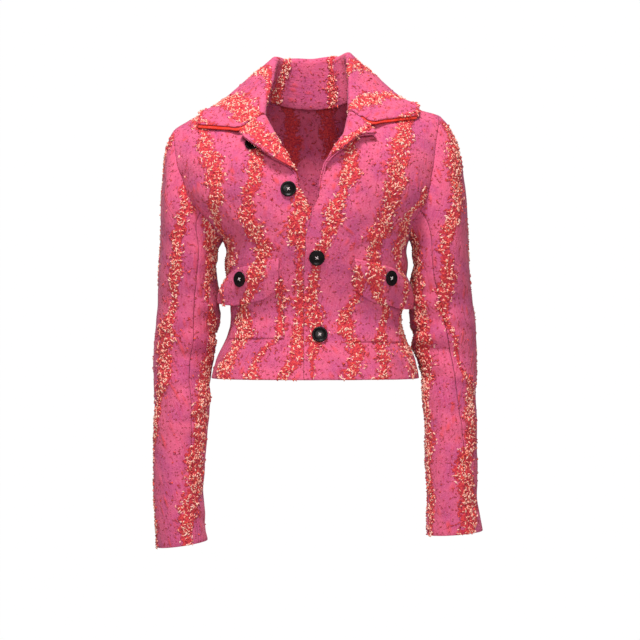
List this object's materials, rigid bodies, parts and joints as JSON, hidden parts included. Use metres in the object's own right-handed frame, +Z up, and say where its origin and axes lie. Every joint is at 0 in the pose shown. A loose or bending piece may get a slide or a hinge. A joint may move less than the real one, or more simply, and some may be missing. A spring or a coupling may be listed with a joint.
{
  "type": "cropped tweed jacket",
  "caption": "Cropped single-breasted boucle tweed jacket with a wide notched collar, flapped patch pockets and long sleeves, hollow in its worn form.",
  "frame": {"origin": "between the shoulders, at the base of the neck, where the wearer's shoulders carry the jacket", "axes": "+Z up, the front towards -Y, the wearer's left towards +X"},
  "size_m": [0.4754, 0.2335, 0.7185],
  "materials": {
    "tweed": "matte, tufted",
    "felt": "matte",
    "button": "semi-gloss"
  },
  "bodies": {
    "root": {"back": "tweed", "front_right": "tweed", "front_left": "tweed", "facing_right": "tweed", "facing_left": "tweed", "sleeve_right_top": "tweed", "sleeve_right_under": "tweed", "sleeve_left_top": "tweed", "sleeve_left_under": "tweed", "collar_top": "tweed", "pocket_right": "tweed", "pocket_left": "tweed", "flap_right": "tweed", "flap_left": "tweed", "collar_under": "felt", "button_waist": "button", "button_hem": "button", "button_chest": "button", "button_lapel": "button", "button_flap_right": "button", "button_flap_left": "button"}
  },
  "joints": []
}
